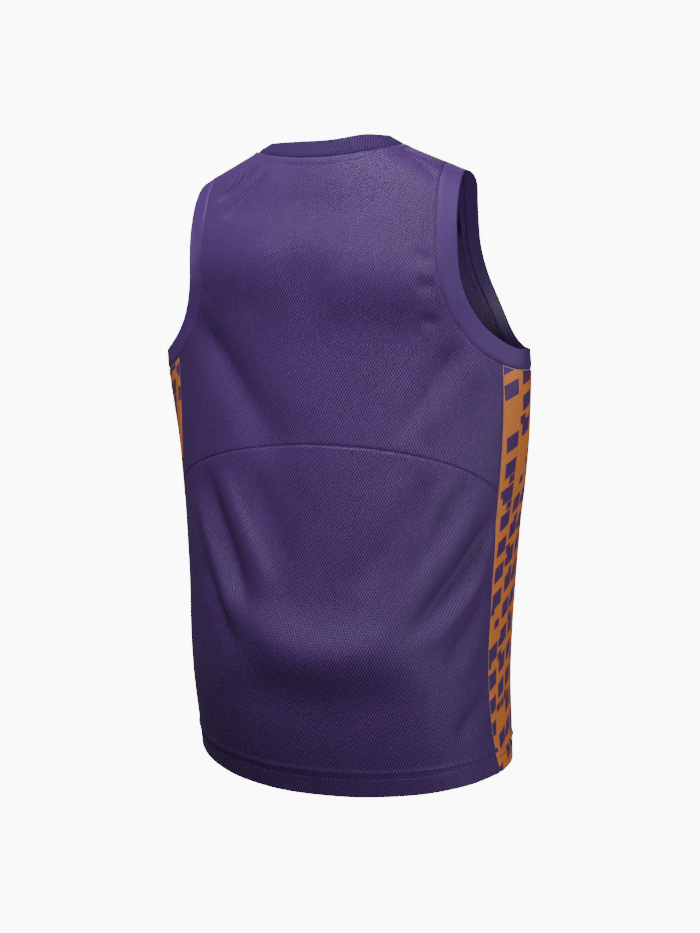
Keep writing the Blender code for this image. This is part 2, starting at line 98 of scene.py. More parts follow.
# The hang of the cloth. A fold bends from start towards middle to end, is "width" to each side and
# sinks by "depth". Ridges have a depth below zero.
Fold = namedtuple("Fold", "start middle end width depth")
LARGE_FOLDS = tuple(Fold(*row) for row in (
    # The cloth of the lower back hangs in a swag between the sides, and turns in below it.
    ((38, 268), (-9, 76), (-50, 246), 37, -14),
    ((36, 140), (-10, 154), (-54, 138), 30, -4),
    ((30, 108), (-10, 116), (-50, 108), 36, 4),
    # Its left arm is a narrow trough between two ridges.
    ((42, 374), (27, 280), (14, 196), 14, 6),
    ((48, 345), (35, 268), (20, 184), 13, -4),
    ((34, 380), (20, 290), (8, 215), 15, -6),
    ((23, 388), (11, 320), (1, 240), 17, 3),
    ((42, 262), (30, 200), (20, 156), 14, 5),
    # Its right arm has a deep trough low down, and shallow ones on both sides of it.
    ((-31, 378), (-23, 322), (-13, 250), 14, -2),
    ((-40, 372), (-32, 312), (-18, 228), 16, 5),
    ((-48, 366), (-41, 328), (-34, 268), 11, -2),
    ((-54, 362), (-47, 322), (-39, 256), 11, 4),
    ((-62, 338), (-50, 276), (-27, 192), 14, -5),
    ((-74, 318), (-58, 254), (-31, 168), 15, 10),
    ((-74, 262), (-60, 214), (-42, 162), 13, -4),
    ((-74, 214), (-64, 176), (-51, 142), 12, 4),
    ((-80, 104), (-68, 80), (-56, 58), 15, 4),
    # Drag lines run from the neck's left end down the shoulder, and from the armholes.
    ((42, 806), (43, 765), (43, 728), 11, 4.5),
    ((31, 803), (29, 750), (34, 697), 11, 4),
    ((-67, 795), (-60, 770), (-56, 745), 10, 3.5),
    ((-33, 634), (-36, 628), (-40, 618), 9, 1.8),
    ((-33, 596), (-37, 592), (-41, 588), 9, 2),
    ((-35, 548), (-39, 547), (-42, 544), 9, 1.6),
    ((48, 572), (34, 464), (4, 388), 26, 9),
    ((-50, 522), (-41, 468), (-27, 402), 14, 5),
    ((-60, 502), (-50, 462), (-37, 402), 17, -4),
    # The shoulder blades.
    ((4, 622), (24, 622), (46, 612), 38, -5),
    ((0, 606), (-26, 598), (-50, 580), 44, -8),
    # The front hangs in the same way.
    ((158, 222), (182, 166), (206, 232), 24, -6),
    ((126, 338), (140, 262), (160, 192), 17, 6),
    ((124, 270), (136, 205), (155, 168), 15, 4),
    ((238, 350), (222, 272), (203, 196), 18, 7),
    ((240, 255), (226, 196), (210, 162), 15, 4.5),
    ((146, 372), (152, 318), (164, 262), 14, -3),
    ((212, 366), (208, 310), (197, 268), 14, -3),
    ((147, 781), (154, 750), (159, 704), 9, 3.5),
    ((220, 781), (215, 748), (210, 702), 9, 3.5),
    ((144, 585), (152, 572), (160, 548), 9, 3),
    ((214, 600), (207, 588), (201, 560), 9, 3),
))
FINE_CREASES = tuple(Fold(*row) for row in (
    # lower back, left half
    ((40, 368), (26, 280), (15, 205), 6, 1.6),
    ((31, 372), (17, 292), (7, 228), 7, -1.4),
    ((45, 330), (33, 262), (21, 194), 6, -1.2),
    ((38, 250), (29, 204), (22, 168), 6, 1.5),
    ((30, 236), (-9, 92), (-42, 222), 20, -2.2),
    # lower back, right half
    ((-38, 366), (-30, 310), (-20, 246), 8, 1.2),
    ((-52, 356), (-45, 318), (-39, 272), 6, 1.0),
    ((-59, 346), (-48, 280), (-31, 214), 7, -1.4),
    ((-71, 320), (-56, 258), (-33, 178), 6, 2.6),
    ((-71, 254), (-58, 212), (-43, 168), 7, -1.5),
    ((-72, 218), (-62, 182), (-51, 150), 6, 1.5),
    ((-76, 190), (-68, 156), (-60, 128), 6, -1.0),
    ((-78, 164), (-71, 138), (-63, 112), 6, 1.3),
    ((-78, 101), (-67, 80), (-57, 60), 7, 1.5),
    # upper back
    ((-48, 514), (-41, 470), (-30, 414), 7, 1.2),
    ((-56, 494), (-49, 452), (-40, 400), 8, 0.9),
    ((45, 552), (34, 474), (10, 404), 10, 1.2),
    # shoulders and armholes
    ((42, 805), (43, 768), (43, 731), 6, 0.5),
    ((31, 800), (30, 748), (34, 699), 6, 0.4),
    ((-66, 794), (-60, 770), (-56, 746), 10, -2.2),
    ((-33, 634), (-36, 628), (-39, 620), 5, 0.9),
    ((-33, 597), (-37, 593), (-41, 589), 4.5, 1.1),
    ((-36, 562), (-39, 561), (-42, 559), 5, -0.8),
    ((-36, 548), (-39, 547), (-42, 545), 5, 1.0),
    ((42, 616), (39, 612), (37, 606), 5, 0.9),
    ((42, 592), (39, 590), (37, 586), 5, 0.9),
    ((43, 544), (40, 541), (37, 538), 5, -0.9),
    # front
    ((130, 350), (138, 270), (158, 200), 8, -1.5),
    ((122, 300), (134, 230), (152, 180), 7, 1.8),
    ((150, 360), (154, 310), (163, 270), 8, 1.3),
    ((236, 340), (224, 275), (206, 205), 8, 2.2),
    ((240, 300), (230, 235), (214, 190), 7, -1.6),
    ((214, 365), (208, 316), (198, 276), 8, 1.3),
    ((160, 216), (184, 160), (205, 228), 10, -1.5),
    ((148, 778), (154, 750), (158, 709), 5, 1.5),
    ((219, 778), (215, 748), (211, 707), 5, 1.5),
))
MM_PER_DEGREE = 3.8  # round the skin, at a radius near 220 mm
PROBE = 0.5
FOLD_SAMPLES = 25  # points along a fold's curve


def spline_through(stops, values, wanted):
    """Natural cubic spline through rows of values at rising stops, read at the wanted places."""
    steps = np.diff(stops)
    slopes = np.diff(values, axis=0) / steps[:, None]
    count = len(stops)
    system = np.eye(count)
    for i in range(1, count - 1):
        system[i, i - 1:i + 2] = steps[i - 1], 2 * (steps[i - 1] + steps[i]), steps[i]
    load = np.zeros_like(values)
    load[1:-1] = 6 * np.diff(slopes, axis=0)
    bends = np.linalg.solve(system, load)
    i = np.clip(np.searchsorted(stops, wanted) - 1, 0, count - 2)
    along = (wanted - stops[i])[..., None]
    step = steps[i][..., None]
    cubic = (bends[i + 1] - bends[i]) / (6 * step)
    linear = slopes[i] - step * (2 * bends[i] + bends[i + 1]) / 6
    return ((cubic * along + bends[i] / 2) * along + linear) * along + values[i]


def unit(vectors):
    return vectors / np.linalg.norm(vectors, axis=-1, keepdims=True)


def ring_points(angle, columns):
    """Points at angles on rings, whose columns are those of Ring after its first."""
    back_z, side_z, front_z, half_width, back_depth, front_depth, middle_y, square, tilt = columns
    turn = np.radians(angle)
    sine, cosine = np.sin(turn), np.cos(turn)
    behind = cosine >= 0
    depth = np.where(behind, back_depth, front_depth)
    centre_z = np.where(behind, back_z, front_z)
    x = half_width * (sine + square * np.sin(3 * turn)) / (1 - square)
    y = middle_y + depth * (cosine - square * np.cos(3 * turn)) / (1 - square)
    lift = half_width * np.tan(np.radians(tilt)) * sine * np.abs(sine)
    z = side_z * sine ** 2 + centre_z * cosine ** 2 + lift
    return np.stack([x, y, z], axis=-1)


RING_TABLE = np.array(BODY_RINGS, dtype=float)


def plain_skin(place):
    """The knit before it hangs in folds. A place is an angle round the body and a length up it."""
    columns = spline_through(RING_TABLE[:, 0], RING_TABLE[:, 1:], place[..., 1])
    return ring_points(place[..., 0], np.moveaxis(columns, -1, 0))


def outward(surface, place):
    across = surface(place + [PROBE, 0]) - surface(place - [PROBE, 0])
    upward = surface(place + [0, PROBE]) - surface(place - [0, PROBE])
    return unit(np.cross(upward, across))


def sunk_by(folds, place):
    """How far folds sink the cloth. The nearest place on a curve is found between its samples."""
    depth = np.zeros(place.shape[:-1])
    share = np.linspace(0, 1, FOLD_SAMPLES)
    for fold in folds:
        start, middle, end = (np.array(point, dtype=float) for point in fold[:3])
        curve = np.outer((1 - share) ** 2, start) + np.outer(2 * share * (1 - share), middle)
        curve = curve + np.outer(share ** 2, end)
        reach = 3 * fold.width
        low = curve.min(axis=0) - [reach / MM_PER_DEGREE, reach]
        high = curve.max(axis=0) + [reach / MM_PER_DEGREE, reach]
        turn = (place[..., 0] - low[0]) % 360 + low[0]
        near = (turn <= high[0]) & (place[..., 1] >= low[1]) & (place[..., 1] <= high[1])
        if near.any():
            across = (turn[near][:, None] - curve[:, 0]) * MM_PER_DEGREE
            squares = across ** 2 + (place[..., 1][near][:, None] - curve[:, 1]) ** 2
            nearest = np.clip(squares.argmin(axis=-1), 1, FOLD_SAMPLES - 2)[:, None]
            before, at, after = (np.take_along_axis(squares, nearest + k, -1)[:, 0] for k in (-1, 0, 1))
            bend = before - 2 * at + after
            step = np.clip((before - after) / (2 * bend), -1, 1)
            square = at + (after - before) / 2 * step + bend / 2 * step ** 2
            along = (nearest[:, 0] + step) / (FOLD_SAMPLES - 1)
            fade = (1 - (2 * along - 1) ** 4) ** 2
            depth[near] += fold.depth * fade * np.exp(-square / fold.width ** 2)
    return depth


RIPPLE_WAVES = 12
RIPPLE_DEPTH = 0.1
ripple_rng = np.random.default_rng(11)
RIPPLE_LENGTHS = ripple_rng.uniform(60, 150, RIPPLE_WAVES)
RIPPLE_TURNS = ripple_rng.uniform(-1.1, 1.1, RIPPLE_WAVES)
RIPPLE_PHASES = ripple_rng.uniform(0, 2 * np.pi, RIPPLE_WAVES)


def rippled(place):
    """Slight unevenness of slack knit, the same all the way round at a full turn."""
    turn = np.radians(place[..., 0])
    depth = np.zeros(turn.shape)
    for length, lean, phase in zip(RIPPLE_LENGTHS, RIPPLE_TURNS, RIPPLE_PHASES):
        waves_round = round(360 * MM_PER_DEGREE * np.cos(lean) / length)
        climb = 2 * np.pi * np.sin(lean) / length
        depth += RIPPLE_DEPTH * np.sin(waves_round * turn + climb * place[..., 1] + phase)
    return depth


def skin(place):
    """The knit's outer face as it hangs."""
    sunk = sunk_by(LARGE_FOLDS, place) + sunk_by(FINE_CREASES, place) + rippled(place)
    return plain_skin(place) - sunk[..., None] * outward(plain_skin, place)


def girth(place, origin):
    """Length round the body from an angle, so that patterns keep their size."""
    shares = np.linspace(0, 1, 33)[:, None, None]
    angle = origin + (place[..., 0] - origin) * shares
    points = plain_skin(np.stack([angle, np.broadcast_to(place[..., 1], angle.shape)], axis=-1))
    length = np.linalg.norm(np.diff(points, axis=0), axis=-1).sum(axis=0)
    return length * np.sign(place[..., 0] - origin)


# ---- where the seams run, as places
LEFT, RIGHT = 1, -1  # signs of the angles on each side
BACK_SEAM, FRONT_SEAM, LEFT_TURN = 1, 2, 3  # columns of SIDE_SEAMS
SIDE_SEAM_TABLE = np.array(SIDE_SEAMS, dtype=float)
LOOP_MARGIN = 4  # rows of ARMHOLE repeated at each end, which keep the closed seam smooth there
LOOP_ROWS = np.arange(-LOOP_MARGIN, len(ARMHOLE) + LOOP_MARGIN + 1) % len(ARMHOLE)
ARMHOLE_LOOP = np.array(ARMHOLE, dtype=float)[LOOP_ROWS]
LOOP_STEPS = np.hypot(*(np.diff(ARMHOLE_LOOP, axis=0) * [MM_PER_DEGREE, 1]).T)
LOOP_RUN = np.concatenate([[0], np.cumsum(LOOP_STEPS)]) - LOOP_STEPS[:LOOP_MARGIN].sum()
SHOULDER_POINT, ONCE_ROUND = 0, LOOP_RUN[LOOP_MARGIN + len(ARMHOLE)]  # lengths along the armhole
UNDERARM_BELOW = 530  # the side seams meet the armhole below this


def side_seam(side, column, ups):
    ups = np.asarray(ups, dtype=float)
    row = spline_through(SIDE_SEAM_TABLE[:, 0], SIDE_SEAM_TABLE, ups)
    turn = row[:, LEFT_TURN] if side == LEFT else 0
    return np.column_stack([side * (row[:, column] + turn), ups])


def armhole_seam(side, first, last, shares):
    """An armhole's seam at shares of the way between two lengths along it, down the back first."""
    return spline_through(LOOP_RUN, ARMHOLE_LOOP, first + (last - first) * np.asarray(shares)) * [side, 1]


def junction(side, column):
    """The length along the armhole at which a side seam meets it."""
    shares = np.linspace(0, 1, 2001)
    places = armhole_seam(side, SHOULDER_POINT, ONCE_ROUND, shares)
    low = np.flatnonzero(places[:, 1] < UNDERARM_BELOW)
    apart = side * (places - side_seam(side, column, places[:, 1]))[low, 0]
    return np.interp(0, apart, shares[low] * ONCE_ROUND)


def seam_top(side, column):
    """How far up a side seam meets the armhole."""
    return armhole_seam(side, junction(side, column), ONCE_ROUND, [0])[0, 1]


def line_between(start, end, shares):
    return np.asarray(start, float) + np.outer(shares, np.subtract(end, start))


def level_line(angles, up):
    return np.column_stack([angles, np.full(len(angles), float(up))])


def neck_opening(first_angle, last_angle, shares, shoulder_share):
    """Up one shoulder seam, round the neck seam and down the other shoulder seam."""
    low, high = ARMHOLE[0].up, NECK_UP
    stops = [0, shoulder_share, 1 - shoulder_share, 1]
    angle = np.interp(shares, stops, [first_angle, first_angle, last_angle, last_angle])
    return np.column_stack([angle, np.interp(shares, stops, [low, high, high, low])])


def arch(shares):
    """The cross seam of the back, from the right side seam to the left."""
    ends = [side_seam(side, BACK_SEAM, [ARCH_END_UP])[0] for side in (RIGHT, LEFT)]
    rise = ARCH_DROP * (1 - (2 * np.asarray(shares) - 1) ** 2)
    return line_between(*ends, shares) + np.outer(rise, [0, 1])


def patch(bottom, top, first_side, last_side, across, like_top):
    """Places inside four edges. like_top says how far each row follows the top edge's own form."""
    across = across[None, :, None]
    like_top = like_top[:, None, None]
    between_sides = (1 - across) * first_side[:, None] + across * last_side[:, None]
    bottom_form = bottom - (1 - across) * bottom[0] - across * bottom[-1]
    top_form = top - (1 - across) * top[0] - across * top[-1]
    return between_sides + (1 - like_top) * bottom_form + like_top * top_form


def level_patch(first_side, last_side, across, like_top, top):
    bottom = line_between(first_side[0], last_side[0], across)
    return patch(bottom, top, first_side, last_side, across, like_top)


# ---- how finely the cloth is divided
STEP = 4.0
LOWER_BACK_WIDTH, UPPER_BACK_WIDTH, FRONT_WIDTH, SIDE_PANEL_WIDTH = 608, 532, 471.2, 105  # about
ARMHOLE_LENGTH = 300
BACK_PARTS, FRONT_PARTS, SHOULDER_PARTS = 30, 26, 4  # so that a column meets each shoulder's end
BESIDE_SEAM = np.array([0.5, 1.0, 1.6, 2.3, 3.2])  # rows that round the cloth off into its seams
BELOW_NECK = np.array([0.6, 1.3, 2.2, 3.4, 5.0, 6.4, 7.4, 8.1, 8.8, 9.5, 10.4, 12.0])
HEM_ROWS = np.array([
    18.0, 19.2, 20.0, 20.6, 21.3, 22.4, 24.0, 25.6, 26.7, 27.4, 28.0, 28.8, 30.0, 31.6, 33.6
])
BESIDE_HEM_ROWS = 1.5  # no even row comes nearer to them


def parts_for(length, multiple=1):
    return max(multiple, int(round(length / STEP / multiple)) * multiple)


def shares_between(length, multiple=1, first=BESIDE_SEAM, last=BESIDE_SEAM):
    """Even shares of a length, with finer ones beside its first and last ends."""
    even = np.linspace(0, 1, parts_for(length, multiple) + 1)
    return np.unique(np.round(np.concatenate([even, first / length, 1 - last / length]), 7))


NO_ROWS = np.array([])


def hem_and_up(length, last=NO_ROWS):
    """Lengths up a panel from its hem, with finer ones at the hem's stitches."""
    even = np.linspace(0, 1, parts_for(length) + 1) * length
    even = even[(even < HEM_ROWS[0] - BESIDE_HEM_ROWS) | (even > HEM_ROWS[-1] + BESIDE_HEM_ROWS)]
    return np.unique(np.round(np.concatenate([even, HEM_ROWS, length - last]), 5))


def placed(name, data):
    """A new object in the scene."""
    piece = bpy.data.objects.new(name, data)
    bpy.context.scene.collection.objects.link(piece)
    return piece


def wall_piece(name, outer, inner, uv, material, inside_material=None, closed=False):
    """A thin closed wall between an outer and an inner grid of points in millimetres."""
    rows, columns = outer.shape[:2]
    layer = rows * columns
    number = np.arange(layer).reshape(rows, columns)
    if closed:
        number = np.concatenate([number, number[:, :1]], axis=1)
    a, b = number[:-1, :-1], number[:-1, 1:]
    c, d = number[1:, :-1], number[1:, 1:]
    flipped = [0, 3, 2, 1]
    outside = np.stack([a, c, d, b], axis=-1).reshape(-1, 4)
    inside = outside[:, flipped] + layer

    def rim(edge):
        return np.stack([edge[:-1], edge[1:], edge[1:] + layer, edge[:-1] + layer], axis=-1)

    rims = [rim(number[0]), rim(number[-1])[:, flipped]]
    if not closed:
        rims += [rim(number[:, 0])[:, flipped], rim(number[:, -1])]
    faces = np.concatenate([outside, inside] + rims)
    mesh = bpy.data.meshes.new(name)
    vertices = np.concatenate([outer.reshape(-1, 3), inner.reshape(-1, 3)]) * MM
    mesh.from_pydata(vertices.tolist(), [], faces.tolist())
    corners = uv[:-1, :-1], uv[1:, :-1], uv[1:, 1:], uv[:-1, 1:]
    outside_uv = np.stack(corners, axis=2).reshape(-1, 2)
    inside_uv = np.stack([corners[k] for k in flipped], axis=2).reshape(-1, 2)
    rim_uv = np.zeros((sum(len(rim) for rim in rims) * 4, 2))
    cloth_uv = mesh.uv_layers.new(name="cloth")
    cloth_uv.data.foreach_set("uv", (np.concatenate([outside_uv, inside_uv, rim_uv]) * MM).ravel())
    mesh.materials.append(material)
    if inside_material:
        mesh.materials.append(inside_material)
        slots = np.zeros(len(faces), dtype=int)
        slots[len(outside):len(outside) + len(inside)] = 1
        mesh.polygons.foreach_set("material_index", slots)
    mesh.shade_smooth()
    mesh.set_sharp_from_angle(angle=np.radians(60))
    return placed(name, mesh)


SEAM_SINK, SEAM_REACH = 1.45, 1.5  # the cloth rounds off into a seam
HEM_CHANNEL, HEM_SWELL = 1.0, 1.4  # pulled in between the hem's two rows, and swollen above them
SWELL_ABOVE, SWELL_REACH = 2.2, 1.7
STITCH_STEP = 0.35  # how soon the cloth sinks beside a row of stitches
NECK_STITCH_WIDTH = 8.5  # the neck seam's allowance, pressed down under the back
NECK_SWELL, NECK_SWELL_STEP, NECK_SWELL_SHORT = 0.5, 0.4, 0.9
NECK_GROOVE, NECK_GROOVE_PAST, NECK_GROOVE_REACH = 0.35, 0.5, 0.9
NEAR_NECK = 40  # only these rows are compared with the neck seam


def grid_normals(points):
    return unit(np.cross(np.gradient(points, axis=0), np.gradient(points, axis=1)))


def distance_to(points, line):
    """Shortest distance from each point to a line of points, worked out in slices."""
    flat = points.reshape(-1, 3)
    nearest = [
        np.linalg.norm(part[:, None] - line[None], axis=-1).min(axis=1)
        for part in np.array_split(flat, 1 + len(flat) // 2000)
    ]
    return np.concatenate(nearest).reshape(points.shape[:-1])


def rise(distance, width):
    """A smooth step from 0 to 1 where the distance passes 0."""
    return 1 / (1 + np.exp(np.clip(-distance / width, -40, 40)))


def stitched_relief(places, points):
    """How far the rows of stitches at the hem and below the neck seam sink the cloth."""
    up = places[..., 1]
    low, high = HEM_STITCH_UPS
    channel = HEM_CHANNEL * rise(up - low, STITCH_STEP) * rise(high - up, STITCH_STEP)
    swell = HEM_SWELL * np.exp(-((up - high - SWELL_ABOVE) / SWELL_REACH) ** 2)
    relief = channel - swell
    by_the_neck = up > NECK_UP - NEAR_NECK
    if by_the_neck.any():
        neck_line = skin(level_line(np.linspace(0, 360, 400), NECK_UP))
        away = distance_to(points[by_the_neck], neck_line)
        raised = NECK_SWELL * rise(NECK_STITCH_WIDTH - NECK_SWELL_SHORT - away, NECK_SWELL_STEP)
        past_stitches = away - NECK_STITCH_WIDTH - NECK_GROOVE_PAST
        groove = NECK_GROOVE * np.exp(-(past_stitches / NECK_GROOVE_REACH) ** 2)
        relief[by_the_neck] += groove - raised
    return relief


def cloth_panel(name, places, sewn, origin, material, inside_material=None):
    """A panel of knit. sewn names its seamed edges, where it rounds off into the seam."""
    outer = skin(places)
    normals = grid_normals(outer)
    thickness = np.where(places[..., 1:] <= HEM_DEPTH, HEM_THICKNESS, KNIT_THICKNESS)
    inner = outer - normals * thickness
    edges = {
        "bottom": np.s_[:1, :], "top": np.s_[-1:, :], "first": np.s_[:, :1], "last": np.s_[:, -1:],
    }
    sink = np.zeros(outer.shape[:2])
    for edge in sewn:
        away = np.linalg.norm(outer - outer[edges[edge]], axis=-1)
        sink = np.maximum(sink, SEAM_SINK * np.exp(-(away / SEAM_REACH) ** 2))
    outer = outer - normals * (sink + stitched_relief(places, outer))[..., None]
    uv = np.stack([girth(places, origin), places[..., 1]], axis=-1)
    return wall_piece(name, outer, inner, uv, material, inside_material)


def stretched_to(ups, top):
    """Lengths up a panel, changed above the hem so that they end at another top."""
    share = (ups - HEM_ROWS[-1]) / (ups[-1] - HEM_ROWS[-1])
    return ups + (top - ups[-1]) * np.clip(share, 0, 1)


def lower_back_places():
    ups = hem_and_up(ARCH_END_UP, BESIDE_SEAM)
    across = shares_between(LOWER_BACK_WIDTH)
    right_side, left_side = (side_seam(side, BACK_SEAM, ups) for side in (RIGHT, LEFT))
    like_top = np.clip((ups - HEM_DEPTH) / (ARCH_END_UP - HEM_DEPTH), 0, 1)
    return level_patch(right_side, left_side, across, like_top, arch(across))


def upper_back_places():
    across = shares_between(UPPER_BACK_WIDTH, BACK_PARTS)
    middle = shares_between(seam_top(RIGHT, BACK_SEAM) - ARCH_END_UP, last=NO_ROWS)
    right_side, left_side = (
        side_seam(side, BACK_SEAM, ARCH_END_UP + middle * (seam_top(side, BACK_SEAM) - ARCH_END_UP))
        for side in (RIGHT, LEFT)
    )
    chest = line_between(right_side[-1], left_side[-1], across)
    low = patch(arch(across), chest, right_side, left_side, across, middle)
    upward = shares_between(ARMHOLE_LENGTH, first=NO_ROWS, last=BELOW_NECK)
    right_armhole, left_armhole = (
        armhole_seam(side, junction(side, BACK_SEAM), SHOULDER_POINT, upward) for side in (RIGHT, LEFT)
    )
    neck = neck_opening(-90, 90, across, SHOULDER_PARTS / BACK_PARTS)
    high = level_patch(right_armhole, left_armhole, across, upward ** 3, neck)
    return np.concatenate([low, high[1:]])


# ---- purple mesh knit: dyed polyester with small eyelets in slanted rows, which give it a dotted
# twill look and a soft satin sheen
def linear(hex_colour):
    """sRGB hex to linear red, green, blue and alpha."""
    parts = [int(hex_colour[i:i + 2], 16) / 255 for i in (1, 3, 5)]
    return [p / 12.92 if p <= 0.04045 else ((p + 0.055) / 1.055) ** 2.4 for p in parts] + [1.0]


def add_node(tree, kind, inputs=None, **settings):
    """Adds a node with its settings. An input is a value or another node's output."""
    node = tree.nodes.new(kind)
    for name, value in settings.items():
        setattr(node, name, value)
    for name, value in (inputs or {}).items():
        if isinstance(value, bpy.types.NodeSocket):
            tree.links.new(value, node.inputs[name])
        else:
            node.inputs[name].default_value = value
    return node


def math_node(tree, operation, *inputs, **settings):
    """What a Math node makes of its inputs, given in order."""
    inputs = dict(enumerate(inputs))
    return add_node(tree, "ShaderNodeMath", inputs, operation=operation, **settings).outputs[0]


def mixed(tree, share, first, second):
    """A mix of two colours, all second where the share is 1."""
    inputs = {"Factor": share, "A": first, "B": second}
    return add_node(tree, "ShaderNodeMix", inputs, data_type="RGBA").outputs["Result"]


Weave = namedtuple("Weave", "pitch slant dot_pitch dots")  # mm, degrees, mm and a share
MESH_WEAVE = Weave(3.0, 58, 3.4, 0.5)  # real eyelets are 1.5 mm apart: drawn coarser, to show


def wave(tree, place, direction, length):
    """A sine of the place on the cloth, one wave for each length in millimetres."""
    turns = 2 * np.pi / (length * MM)
    along = add_node(
        tree, "ShaderNodeVectorMath", {0: place, 1: (direction[0] * turns, direction[1] * turns, 0)},
        operation="DOT_PRODUCT",
    ).outputs["Value"]
    return math_node(tree, "SINE", along)


def knit_relief(tree, weave):
    """Height of a knit of dotted rows, from -1 to 1."""
    place = add_node(tree, "ShaderNodeUVMap", uv_map="cloth").outputs["UV"]
    sine, cosine = np.sin(np.radians(weave.slant)), np.cos(np.radians(weave.slant))
    rows = wave(tree, place, (sine, cosine), weave.pitch)
    staggered = (
        -cosine / weave.dot_pitch + sine / (2 * weave.pitch),
        sine / weave.dot_pitch + cosine / (2 * weave.pitch),
    )
    dots = wave(tree, place, staggered, 1.0)
    dotted = math_node(tree, "MULTIPLY_ADD", dots, weave.dots, 1 - weave.dots)
    return math_node(tree, "MULTIPLY", rows, dotted)


UNEVEN_DYE = 0.3  # how much of the yarn's tone is left to chance


def eyelet_shade_and_dye(tree, relief, contrast):
    """How light the yarn is drawn, from 0 in the eyelets to 1 on the loops: painted shade in the eyelets
    and painted light on the loops, over dye that differs at random.
    """
    cloudy = {"Scale": 7.0, "Detail": 4.0, "Roughness": 0.6}
    noise = add_node(tree, "ShaderNodeTexNoise", cloudy).outputs["Fac"]
    dye = math_node(tree, "MULTIPLY_ADD", noise, UNEVEN_DYE, 0.5 - UNEVEN_DYE / 2)
    return math_node(tree, "MULTIPLY_ADD", relief, contrast, dye, use_clamp=True)


# A yarn's dark colour is painted shade, shown in the knit's eyelets, and its light colour is painted light,
# shown on its loops. Random dye also moves the tone between them.
Yarn = namedtuple("Yarn", "dark light")
# contrast is how strongly the relief paints shade into the eyelets and light onto the loops.
Finish = namedtuple("Finish", "depth contrast roughness sheen")  # depth in mm, the rest are shares


def new_material(name, inputs):
    """A material whose shader has these inputs."""
    material = bpy.data.materials.new(name)
    material.use_nodes = True
    shader = material.node_tree.nodes["Principled BSDF"]
    for label, value in inputs.items():
        shader.inputs[label].default_value = value
    return material


def knit_material(name, yarn, weave, finish):
    """Polyester knit between two colours of one yarn: painted shade in its eyelets and painted light on its
    loops, over dye that differs at random.
    """
    material = new_material(name, {
        "Roughness": finish.roughness, "Sheen Weight": finish.sheen, "Sheen Roughness": 0.5,
        "Sheen Tint": linear(yarn.light), "Specular IOR Level": 0.4,
    })
    tree = material.node_tree
    shader = tree.nodes["Principled BSDF"]
    relief = knit_relief(tree, weave)
    tone = eyelet_shade_and_dye(tree, relief, finish.contrast)
    colour = mixed(tree, tone, linear(yarn.dark), linear(yarn.light))
    raised = {"Strength": 1.0, "Distance": finish.depth * MM, "Height": relief}
    bump = add_node(tree, "ShaderNodeBump", raised)
    tree.links.new(colour, shader.inputs["Base Color"])
    tree.links.new(bump.outputs["Normal"], shader.inputs["Normal"])
    return material


# Its dark colour is painted shade in the eyelets, and its light one is painted light on the loops.
PURPLE = Yarn("#280d42", "#6b4293")
mesh_knit = knit_material("purple_mesh_knit_dyed", PURPLE, MESH_WEAVE, Finish(0.3, 0.8, 0.5, 0.12))

back_lower = cloth_panel("back_lower_cloth", lower_back_places(), ("first", "last", "top"), 0, mesh_knit)
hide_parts("back_lower")
back_upper = cloth_panel(
    "back_upper_cloth", upper_back_places(), ("first", "last", "top", "bottom"), 0, mesh_knit
)
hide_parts("back_upper")
for panel in (back_lower, back_upper):
    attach(panel, "root")

# ======== the front
# One panel of the same mesh knit from the shoulder seams to the hem. It is hidden in the photograph
# but for its inside, and hangs as the back does.


def front_places():
    across = shares_between(FRONT_WIDTH, FRONT_PARTS)
    left_top, right_top = (seam_top(side, FRONT_SEAM) for side in (LEFT, RIGHT))
    ups = hem_and_up(left_top)
    left_side = side_seam(LEFT, FRONT_SEAM, ups)
    right_side = side_seam(RIGHT, FRONT_SEAM, stretched_to(ups, right_top)) + [360, 0]
    top = line_between(left_side[-1], right_side[-1], across)
    low = level_patch(left_side, right_side, across, ups / left_top, top)
    upward = shares_between(ARMHOLE_LENGTH, first=NO_ROWS, last=BELOW_NECK)
    left_armhole = armhole_seam(LEFT, junction(LEFT, FRONT_SEAM), ONCE_ROUND, upward)
    right_armhole = armhole_seam(RIGHT, junction(RIGHT, FRONT_SEAM), ONCE_ROUND, upward) + [360, 0]
    neck = neck_opening(90, 270, across, SHOULDER_PARTS / FRONT_PARTS)
    high = level_patch(left_armhole, right_armhole, across, upward ** 3, neck)
    return np.concatenate([low, high[1:]])


front = cloth_panel("front_cloth", front_places(), ("first", "last", "top"), 180, mesh_knit)
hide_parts("front")
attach(front, "root")

# ======== the side panels
# A long printed panel under each arm, of the same knit in orange with slanted purple dashes
# printed on its face alone. Overlocked to the back and the front, and turned up with the hem.


def side_panel_places(side):
    """A side panel, from its back seam to its front seam."""
    across = shares_between(SIDE_PANEL_WIDTH)
    top = seam_top(side, BACK_SEAM)
    ups = hem_and_up(top, BESIDE_SEAM)
    back_side = side_seam(side, BACK_SEAM, ups)
    front_side = side_seam(side, FRONT_SEAM, stretched_to(ups, seam_top(side, FRONT_SEAM)))
    underarm = armhole_seam(side, junction(side, BACK_SEAM), junction(side, FRONT_SEAM), across)
    return level_patch(back_side, front_side, across, (ups / top) ** 3, underarm)


# The print is a generic one: dashes with slanted ends, in columns, of two sizes. A dash fills a share
# of its cell's width and length, and only a share of the cells has one.
Dashes = namedtuple("Dashes", "column_width length slope wide long share seed")
DASH_LAYERS = (
    Dashes(25.0, 31.0, 0.45, 0.74, 0.60, 0.78, 3.0),
    Dashes(12.5, 15.5, 0.45, 0.80, 0.62, 0.16, 8.0),
)


